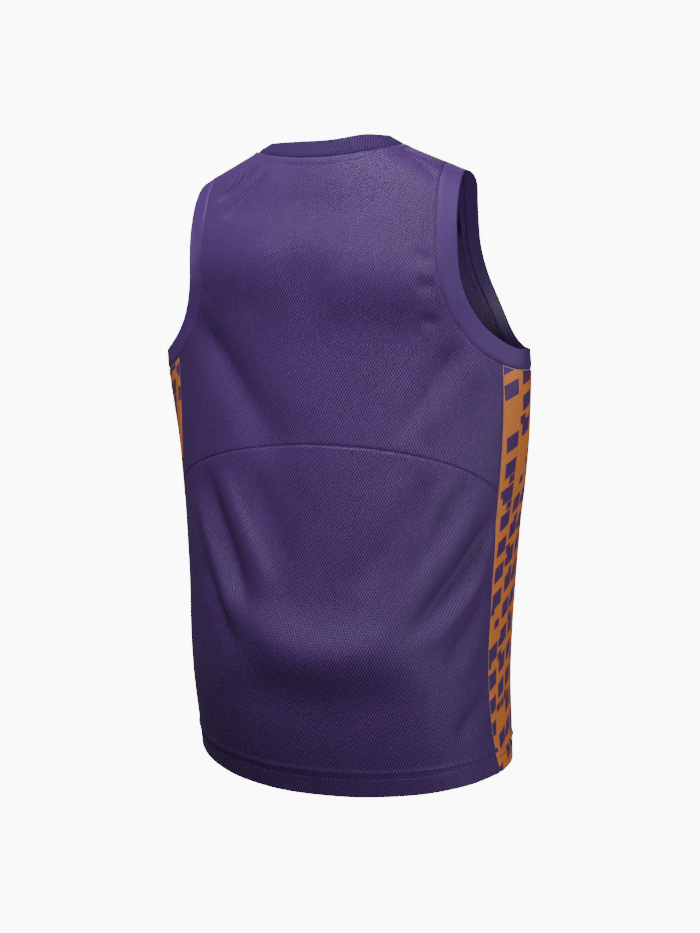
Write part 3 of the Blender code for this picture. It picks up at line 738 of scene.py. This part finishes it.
def dash_mask(tree, dashes):
    """One where a dash is printed. Each column of dashes starts at its own height."""
    place = add_node(tree, "ShaderNodeUVMap", uv_map="cloth").outputs["UV"]
    apart = add_node(tree, "ShaderNodeSeparateXYZ", {0: place})
    across, upward = apart.outputs["X"], apart.outputs["Y"]
    column = math_node(tree, "MULTIPLY_ADD", across, 1 / (dashes.column_width * MM), dashes.seed)
    column_number = math_node(tree, "FLOOR", column)
    start = add_node(
        tree, "ShaderNodeTexWhiteNoise", {"W": column_number}, noise_dimensions="1D"
    ).outputs["Value"]
    slanted = math_node(tree, "MULTIPLY_ADD", across, dashes.slope, upward)
    height = math_node(tree, "MULTIPLY_ADD", slanted, 1 / (dashes.length * MM), start)
    row_number = math_node(tree, "FLOOR", height)
    numbers = {0: column_number, 1: row_number, 2: dashes.seed}
    cell = add_node(tree, "ShaderNodeCombineXYZ", numbers).outputs[0]
    chance = add_node(
        tree, "ShaderNodeTexWhiteNoise", {"Vector": cell}, noise_dimensions="3D"
    ).outputs["Value"]
    in_width = math_node(tree, "LESS_THAN", math_node(tree, "FRACT", column), dashes.wide)
    in_length = math_node(tree, "LESS_THAN", math_node(tree, "FRACT", height), dashes.long)
    there = math_node(tree, "LESS_THAN", chance, dashes.share)
    in_dash = math_node(tree, "MULTIPLY", in_width, in_length)
    return math_node(tree, "MULTIPLY", in_dash, there)


def printed_material(name, ground, ink, weave, finish):
    """Knit with dashes of ink sublimated into its yarn."""
    material = knit_material(name, ground, weave, finish)
    tree = material.node_tree
    shader = tree.nodes["Principled BSDF"]
    ground_colour = shader.inputs["Base Color"].links[0].from_socket
    # The ink is also drawn darker in the eyelets and lighter on the loops, as painted shade and painted
    # light.
    tone = eyelet_shade_and_dye(tree, knit_relief(tree, weave), finish.contrast)
    ink_colour = mixed(tree, tone, linear(ink.dark), linear(ink.light))
    large, small = (dash_mask(tree, dashes) for dashes in DASH_LAYERS)
    inked = math_node(tree, "MAXIMUM", large, small)
    printed = mixed(tree, inked, ground_colour, ink_colour)
    tree.links.new(printed, shader.inputs["Base Color"])
    return material


ORANGE = Yarn("#d66c26", "#fb9c4c")
UNPRINTED = Yarn("#b98a66", "#d9b492")
PRINT_FINISH = Finish(0.16, 0.3, 0.55, 0.1)
print_knit = printed_material("orange_knit_printed_face", ORANGE, PURPLE, MESH_WEAVE, PRINT_FINISH)
print_inside = knit_material("orange_knit_pale_inside", UNPRINTED, MESH_WEAVE, PRINT_FINISH)

SIDE_MIDDLE = 93  # degrees from the centre back
for side, places, origin in (
    ("left", side_panel_places(LEFT), SIDE_MIDDLE),
    ("right", side_panel_places(RIGHT)[:, ::-1], -SIDE_MIDDLE),
):
    panel = cloth_panel(
        f"side_panel_{side}_cloth", places, ("first", "last", "top"), origin, print_knit, print_inside
    )
    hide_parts(f"side_panel_{side}")
    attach(panel, "root")

# ======== the armhole bands
# A strip of fine rib knit folded double, its two cut edges overlocked to the armhole and its fold
# left as the free edge. It is cut a little short, so it leans in.

BAND_THICKNESS = 1.8
BAND_PROUD = 0.4
ARMHOLE_BAND_WIDTH = 24.0
ARMHOLE_BAND_LEAN = 1.5
BAND_GROOVE, BAND_GROOVE_AT, BAND_GROOVE_REACH = 0.4, 3.0, 0.5  # where the seam's thread pulls it in
RIB_WEAVE = Weave(2.4, 90, 4.0, 0.2)  # real ribs are 1.2 mm apart: drawn coarser, to show

RIB_YARN, RIB_FINISH = Yarn("#40205f", "#654092"), Finish(0.08, 0.14, 0.55, 0.15)
band_knit = knit_material("purple_rib_knit_dyed", RIB_YARN, RIB_WEAVE, RIB_FINISH)


def run_along(line):
    """The length along a line of points, at each point."""
    return np.concatenate([[0], np.cumsum(np.linalg.norm(np.diff(line, axis=0), axis=-1))])


THINNEST_HALF = 0.05  # at the folded edge
SEAM_TURN = 0.3  # share of a band's width over which it turns from the panel's direction to its own


def folded_band(name, seam, edge, seam_normals, normals, width, material):
    """A closed band, rounded off into its seam and round at its folded free edge."""
    beside_seam = [0, 0.02, 0.045, 0.08, 0.105, 0.12, 0.135, 0.15, 0.175]
    beside_fold = [0.92, 0.955, 0.98, 0.995, 1.0]
    shares = np.concatenate([beside_seam, np.linspace(0.24, 0.88, 7), beside_fold])
    half = BAND_THICKNESS / 2
    outer_rows, inner_rows = [], []
    for share in shares:
        from_edge = np.clip((1 - share) * width / half, 0, 1)
        rounded = max(half * np.sqrt(1 - (1 - from_edge) ** 2), THINNEST_HALF)
        sunk = SEAM_SINK * np.exp(-(share * width / SEAM_REACH) ** 2)
        sunk += BAND_GROOVE * np.exp(-((share * width - BAND_GROOVE_AT) / BAND_GROOVE_REACH) ** 2)
        like_edge = min(share / SEAM_TURN, 1)
        facing = unit(seam_normals * (1 - like_edge) + normals * like_edge)
        middle = seam + (edge - seam) * share + facing * (BAND_PROUD - half)
        outer_rows.append(middle + facing * (rounded - sunk))
        inner_rows.append(middle - facing * rounded)
    run = run_along(np.concatenate([seam, seam[:1]]))
    uv = np.stack(np.broadcast_arrays(run[None, :], shares[:, None] * width), axis=-1)
    return wall_piece(name, np.stack(outer_rows), np.stack(inner_rows), uv, material, closed=True)


def armhole_loop(side):
    """Places once round an armhole's seam."""
    long_side, under = np.linspace(0, 1, 90, endpoint=False), np.linspace(0, 1, 34, endpoint=False)
    back, front = junction(side, BACK_SEAM), junction(side, FRONT_SEAM)
    return np.concatenate([
        armhole_seam(side, SHOULDER_POINT, back, long_side),
        armhole_seam(side, back, front, under),
        armhole_seam(side, front, ONCE_ROUND, long_side),
    ])


def loop_direction(points):
    return np.roll(points, -1, axis=0) - np.roll(points, 1, axis=0)


armhole_loops = {"left": armhole_loop(LEFT), "right": armhole_loop(RIGHT)[::-1]}
for side, places in armhole_loops.items():
    smooth_seam = plain_skin(places)
    smooth_normals = outward(plain_skin, places)
    into_the_hole = unit(np.cross(loop_direction(smooth_seam), smooth_normals))
    edge = smooth_seam + into_the_hole * ARMHOLE_BAND_WIDTH - smooth_normals * ARMHOLE_BAND_LEAN
    band = folded_band(
        f"armhole_band_{side}_cloth", skin(places), edge, outward(skin, places), smooth_normals,
        ARMHOLE_BAND_WIDTH, band_knit,
    )
    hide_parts(f"armhole_band_{side}")
    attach(band, "root")

# ======== the neckband
# A strip of the mesh knit, folded double, that stands up from the neck seam round the neck.

NECKBAND_EDGE = Ring(NECK_UP, 7.5, 9.5, -78, 77, 41, 70, -2, 0.0, -1.7)
NAPE_RISE = 3.6  # the edge stands a little higher at the right of the nape
NAPE_RISE_ANGLE, NAPE_RISE_WIDTH = -47, 23
NECKBAND_WIDTH = 21.0
NECKBAND_YARN, NECKBAND_FINISH = Yarn("#22093e", "#52307a"), Finish(0.22, 0.6, 0.8, 0.02)
neckband_knit = knit_material(
    "purple_neckband_knit_dyed", NECKBAND_YARN, MESH_WEAVE, NECKBAND_FINISH
)

around = np.linspace(-90, 270, 240, endpoint=False)
neck_places = level_line(around, NECK_UP)
neck_seam = skin(neck_places)
neck_edge = ring_points(around, NECKBAND_EDGE[1:])
neck_edge[:, 2] += NAPE_RISE * np.exp(-((around - NAPE_RISE_ANGLE) / NAPE_RISE_WIDTH) ** 2)
neck_normals = unit(np.cross(neck_edge - neck_seam, loop_direction(neck_seam)))
neckband = folded_band(
    "neckband_cloth", neck_seam, neck_edge, outward(skin, neck_places), neck_normals,
    NECKBAND_WIDTH, neckband_knit,
)
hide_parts("neckband")
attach(neckband, "root")

# ======== the sewing
# Textured polyester thread. Each seam is overlocked inside, its narrow allowance bound by zigzag
# threads, and rows of lockstitch hold the hem and the neck seam's allowance down.

THREAD_RADIUS = 0.32
THREAD_SIDES = 6
Bead = namedtuple("Bead", "share radius lift")
STITCH_FORM = (
    Bead(0, 0.35, 0), Bead(0.15, 0.85, 0.7), Bead(0.5, 1, 1), Bead(0.85, 0.85, 0.7), Bead(1, 0.35, 0),
)

glossy_purple = {"Base Color": linear("#634899"), "Roughness": 0.45}
thread_material = new_material("purple_polyester_thread", glossy_purple)


def threads(name, starts, ends, normals, lift=0.25):
    """Short lengths of thread, joined as one piece, each rising from the cloth between its ends."""
    along = unit(ends - starts)
    beside = np.cross(normals, along)
    turns = np.linspace(0, 2 * np.pi, THREAD_SIDES, endpoint=False)[None, :, None]
    round_it = beside[:, None] * np.cos(turns) + normals[:, None] * np.sin(turns)
    rings = []
    for bead in STITCH_FORM:
        centre = starts + (ends - starts) * bead.share + normals * (bead.lift * lift)
        rings.append(centre[:, None] + round_it * THREAD_RADIUS * bead.radius)
    points = np.stack(rings, axis=1)  # stitch, bead, side, axis
    count, beads = len(starts), len(STITCH_FORM)
    number = np.arange(count * beads * THREAD_SIDES).reshape(count, beads, THREAD_SIDES)
    a, c = number[:, :-1], number[:, 1:]
    b, d = np.roll(a, -1, axis=2), np.roll(c, -1, axis=2)
    sides = np.stack([a, b, d, c], axis=-1).reshape(-1, 4).tolist()
    caps = number[:, 0, ::-1].tolist() + number[:, -1].tolist()
    mesh = bpy.data.meshes.new(name)
    mesh.from_pydata((points.reshape(-1, 3) * MM).tolist(), [], sides + caps)
    mesh.materials.append(thread_material)
    mesh.shade_smooth()
    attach(placed(name, mesh), "root")


def evenly(values, points, spacing, phase=0.0):
    """Reads values at even spacings along a line of points."""
    run = run_along(points)
    wanted = np.arange(phase, run[-1] - spacing * 0.5, spacing)
    return np.stack([np.interp(wanted, run, column) for column in values.T], axis=-1)


STITCH_PITCH, STITCH_LENGTH = 3.6, 2.7  # real stitches are 2.5 mm: a little longer here, to show


def stitch_row(name, places, sunk):
    """A row of lockstitch along places on the outer face."""
    line = skin(places)
    normals = outward(skin, places)
    line = line - normals * sunk
    starts = evenly(line, line, STITCH_PITCH)
    ends = evenly(line, line, STITCH_PITCH, STITCH_LENGTH)
    facing = unit(evenly(normals, line, STITCH_PITCH))
    count = min(len(starts), len(ends))
    threads(name, starts[:count], ends[:count], facing[:count])


STITCH_SUNK = 0.1
full_turn = np.linspace(-88, 272, 721)
for row, up in enumerate(HEM_STITCH_UPS, start=1):
    stitch_row(f"hem_stitches_{row}", level_line(full_turn, up), STITCH_SUNK)


def below_neck_seam(angles, distance):
    """Places a true distance below the neck seam."""
    ups = NECK_UP - np.linspace(0, 4 * distance, 41)
    grid = np.stack(np.meshgrid(angles, ups, indexing="ij"), axis=-1)
    points = skin(grid)
    run = np.cumsum(np.linalg.norm(np.diff(points, axis=1), axis=-1), axis=1)
    reached = [np.interp(distance, row, ups[1:]) for row in run]
    return np.column_stack([angles, reached])


neck_line = below_neck_seam(np.linspace(-90, 270, 361), NECK_STITCH_WIDTH)
stitch_row("neck_stitches", neck_line, -STITCH_SUNK)

ALLOWANCE_WIDTH, ALLOWANCE_THICKNESS = 5.5, 1.2
ALLOWANCE_ROWS = np.array([0.0, 0.3, 0.7, 1.0]) * ALLOWANCE_WIDTH
ALLOWANCE_START = -0.8  # it begins a little past the seam
ALLOWANCE_GAP, THREAD_PROUD = 0.05, 0.1
OVERLOCK_PITCH, OVERLOCK_LEAN, OVERLOCK_LIFT = 2.6, 0.35, 0.15


def overlocked_seam(name, places, towards, material):
    """A seam's allowance inside the shirt, bound with zigzag threads.

    towards is 1 where the allowance lies to the left of the seam's run, seen from outside, else -1.
    """
    line = skin(places)
    normals = outward(skin, places)
    along = unit(np.gradient(line, axis=0))
    aside = unit(np.cross(normals, along)) * towards
    foot = line - normals * (KNIT_THICKNESS + ALLOWANCE_GAP)
    far = np.stack([foot + aside * (width + ALLOWANCE_START) for width in ALLOWANCE_ROWS])
    near = far - normals[None] * ALLOWANCE_THICKNESS
    run = run_along(line)
    uv = np.stack(np.broadcast_arrays(run[None, :], ALLOWANCE_ROWS[:, None]), axis=-1)
    grids = [grid[::-towards] for grid in (far, near, uv)]
    allowance = wall_piece(f"{name}_allowance", *grids, material)
    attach(allowance, "root")
    inner_edge, outer_edge = (row - normals * THREAD_PROUD for row in (near[0], near[-1]))
    starts = evenly(inner_edge, line, OVERLOCK_PITCH)
    ends = evenly(outer_edge, line, OVERLOCK_PITCH, OVERLOCK_PITCH * OVERLOCK_LEAN)
    facing = -unit(evenly(normals, line, OVERLOCK_PITCH))
    count = min(len(starts), len(ends)) - 1
    zig_starts = np.concatenate([starts[:count], ends[:count]])
    zig_ends = np.concatenate([ends[:count], starts[1:count + 1]])
    zig_facing = np.concatenate([facing[:count]] * 2)
    threads(f"{name}_overlock", zig_starts, zig_ends, zig_facing, OVERLOCK_LIFT)
    return allowance


arch_shares = np.linspace(0, 1, 181)
shoulder_shares = np.linspace(0, 1, 40)
for side, places in armhole_loops.items():
    closed_loop = np.concatenate([places, places[:2]])
    overlocked_seam(f"armhole_{side}", closed_loop, -1, band_knit)
neck_turn = level_line(np.linspace(-90, 271.5, 242), NECK_UP)
back_seams = [
    overlocked_seam("arch", arch(arch_shares), 1, mesh_knit),
    overlocked_seam("neck", neck_turn, 1, mesh_knit),
]
for label, angle in (("left", 90), ("right", -90)):
    shoulder = line_between((angle, ARMHOLE[0].up), (angle, NECK_UP), shoulder_shares)
    back_seams.append(overlocked_seam(f"shoulder_{label}", shoulder, 1, mesh_knit))

# The side seams, overlocked from a little above the hem up to the armholes.
for side, towards, word in ((LEFT, 1, "left"), (RIGHT, -1, "right")):
    for column, label in ((BACK_SEAM, "back"), (FRONT_SEAM, "front")):
        rising = side_seam(side, column, np.linspace(HEM_DEPTH + 2, seam_top(side, column), 160))
        overlocked_seam(f"side_{word}_{label}", rising, towards, mesh_knit)

# ======== the studio
# A round white paper cove that glows behind the shirt. A small soft key light stands close above the
# back, a wide one at its right, a weak one above the camera and one in front of the shirt.

COVE_FLOOR, COVE_TOP, COVE_RADIUS, COVE_BEND = -2.6, 4.0, 7.0, 1.5
profile = [(0.02, COVE_FLOOR), (COVE_RADIUS - COVE_BEND, COVE_FLOOR)]
for turn in np.radians(np.linspace(0, 90, 10)[1:]):
    profile.append((
        COVE_RADIUS - COVE_BEND + COVE_BEND * np.sin(turn),
        COVE_FLOOR + COVE_BEND - COVE_BEND * np.cos(turn),
    ))
profile.append((COVE_RADIUS, COVE_TOP))
COVE_SIDES = 64
cove_turns = np.linspace(0, 2 * np.pi, COVE_SIDES, endpoint=False)
cove_points = [(r * np.cos(t), r * np.sin(t), z) for r, z in profile for t in cove_turns]
cove_faces = []
for ring in range(len(profile) - 1):
    for i in range(COVE_SIDES):
        after = (i + 1) % COVE_SIDES
        low, high = ring * COVE_SIDES, (ring + 1) * COVE_SIDES
        cove_faces.append((low + i, high + i, high + after, low + after))
cove_mesh = bpy.data.meshes.new("paper_cove")
cove_mesh.from_pydata(cove_points, [], cove_faces)
cove_mesh.shade_smooth()
cove = placed("paper_cove", cove_mesh)
WHITE = linear("#ffffff")
burnt_out = {"Base Color": WHITE, "Roughness": 0.9, "Emission Color": WHITE, "Emission Strength": 10.0}
cove_mesh.materials.append(new_material("matt_white_paper", burnt_out))
cove.visible_diffuse = False
cove.visible_glossy = False
cove.visible_shadow = False

world = bpy.data.worlds.new("studio_air")
bpy.context.scene.world = world
world.use_nodes = True
air = world.node_tree.nodes["Background"]
air.inputs["Color"].default_value = WHITE
air.inputs["Strength"].default_value = 0.12

Softbox = namedtuple("Softbox", "name place aim size watts")
SOFTBOXES = (
    Softbox("key_softbox", (0.1, 0.62, 0.68), (0.0, 0.0, -0.15), 0.5, 11.5),
    Softbox("side_softbox", (-2.2, 0.9, -0.45), (0.0, 0.0, -0.35), 1.0, 20.0),
    Softbox("fill_softbox", (-1.15, 2.3, 0.5), (0.0, 0.0, -0.35), 0.7, 5.5),
    Softbox("front_softbox", (0.8, -2.2, 1.0), (0.0, 0.0, -0.35), 1.2, 15.0),
)


def new_light(name, kind, place, aim, watts):
    light = bpy.data.lights.new(name, kind)
    light.energy = watts
    lamp = placed(name, light)
    lamp.location = place
    lamp.rotation_euler = (Vector(aim) - Vector(place)).to_track_quat("-Z", "Y").to_euler()
    return light


for box in SOFTBOXES:
    new_light(box.name, "AREA", box.place, box.aim, box.watts).size = box.size

# A narrow spotlight shines in at the left armhole, for the light that the thin knit lets through.
spotlight = new_light("armhole_spot", "SPOT", (0.62, 0.0, -0.14), (-0.22, -0.09, -0.09), 10.0)
spotlight.spot_size = np.radians(20)
spotlight.spot_blend = 0.4
spotlight.shadow_soft_size = 0.03

# The camera stands behind the shirt's right side, a little above its middle.
CAMERA_AZIMUTH, CAMERA_ELEVATION, CAMERA_ROLL = 25.5, 7.6, 1.3
CAMERA_DISTANCE, CAMERA_TARGET = 2.36, Vector((0.0, -0.036, -0.393))
FOCAL_PIXELS, FRAME_PIXELS, SENSOR_WIDTH = 1886.0, 700.0, 36.0
azimuth, elevation, roll = np.radians([CAMERA_AZIMUTH, CAMERA_ELEVATION, CAMERA_ROLL])
backward = Vector((
    -np.sin(azimuth) * np.cos(elevation), np.cos(azimuth) * np.cos(elevation), np.sin(elevation)
))
rightward = Vector((0, 0, 1)).cross(backward).normalized()
upward = backward.cross(rightward)
tilted_right = rightward * np.cos(roll) - upward * np.sin(roll)
tilted_up = rightward * np.sin(roll) + upward * np.cos(roll)
camera_data = bpy.data.cameras.new("photo_camera")
camera_data.sensor_fit = "HORIZONTAL"
camera_data.sensor_width = SENSOR_WIDTH
camera_data.lens = FOCAL_PIXELS / FRAME_PIXELS * SENSOR_WIDTH
camera = placed("photo_camera", camera_data)
axes = Matrix((tilted_right, tilted_up, backward)).transposed().to_4x4()
camera.matrix_world = Matrix.Translation(CAMERA_TARGET + backward * CAMERA_DISTANCE) @ axes
bpy.context.scene.camera = camera
